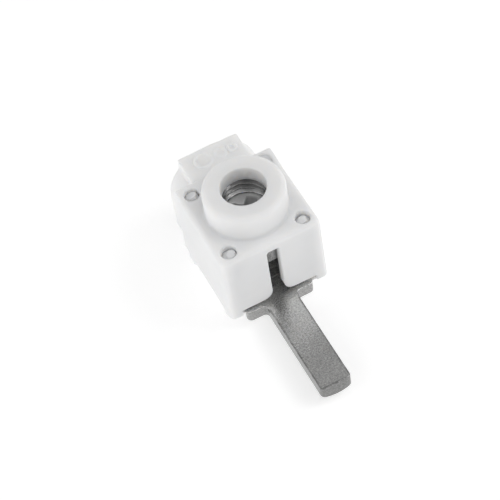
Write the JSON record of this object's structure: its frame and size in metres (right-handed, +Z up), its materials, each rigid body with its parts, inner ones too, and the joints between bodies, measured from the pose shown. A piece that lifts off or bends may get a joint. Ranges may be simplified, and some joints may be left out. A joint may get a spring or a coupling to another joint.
{
  "type": "busbar feed-in terminal",
  "caption": "Insulated single-pole screw clamp for one round wire, with a flat pin for a comb busbar: two-part white housing, collar, clamp frame, screw.",
  "frame": {"origin": "foot of the screw axis on the flat underside of the tray, on which the terminal stands", "axes": "+Z up along the screw axis to the screwdriver opening, +Y to the wire funnel, -Y along the contact pin"},
  "size_m": [0.016, 0.0388, 0.0226],
  "materials": {
    "upper_shell": "milky white moulded plastic, satin, slightly translucent",
    "lower_shell": "milky white moulded plastic, satin, slightly translucent",
    "zinc_plated_steel": "zinc-plated, dull satin",
    "tinned_copper": "tin-plated copper alloy, satin with a fine grain",
    "screw_steel": "zinc-plated steel, satin",
    "pad_steel": "zinc-plated steel, satin"
  },
  "bodies": {
    "root": {"upper_housing": "upper_shell", "lower_housing": "lower_shell", "clamp_frame": "zinc_plated_steel", "contact_pin": "tinned_copper"},
    "pad": {"thrust_pad": "pad_steel"},
    "screw": {"clamp_screw": "screw_steel"}
  },
  "joints": [
    {"name": "pad_travel", "type": "slide", "parent": "root", "child": "pad", "axis": [0, 0, 1], "range_m": [-0.0041, 0.0028]},
    {"name": "screw_turn", "type": "hinge", "parent": "pad", "child": "screw", "pos_m": [0, 0, 0.0132], "axis": [0, 0, 1], "range_deg": [-1476.1, 1008.1]}
  ],
  "couplings": [
    {"joint": "screw_turn", "follows": "pad_travel", "rad_per_m": 6283.2}
  ]
}
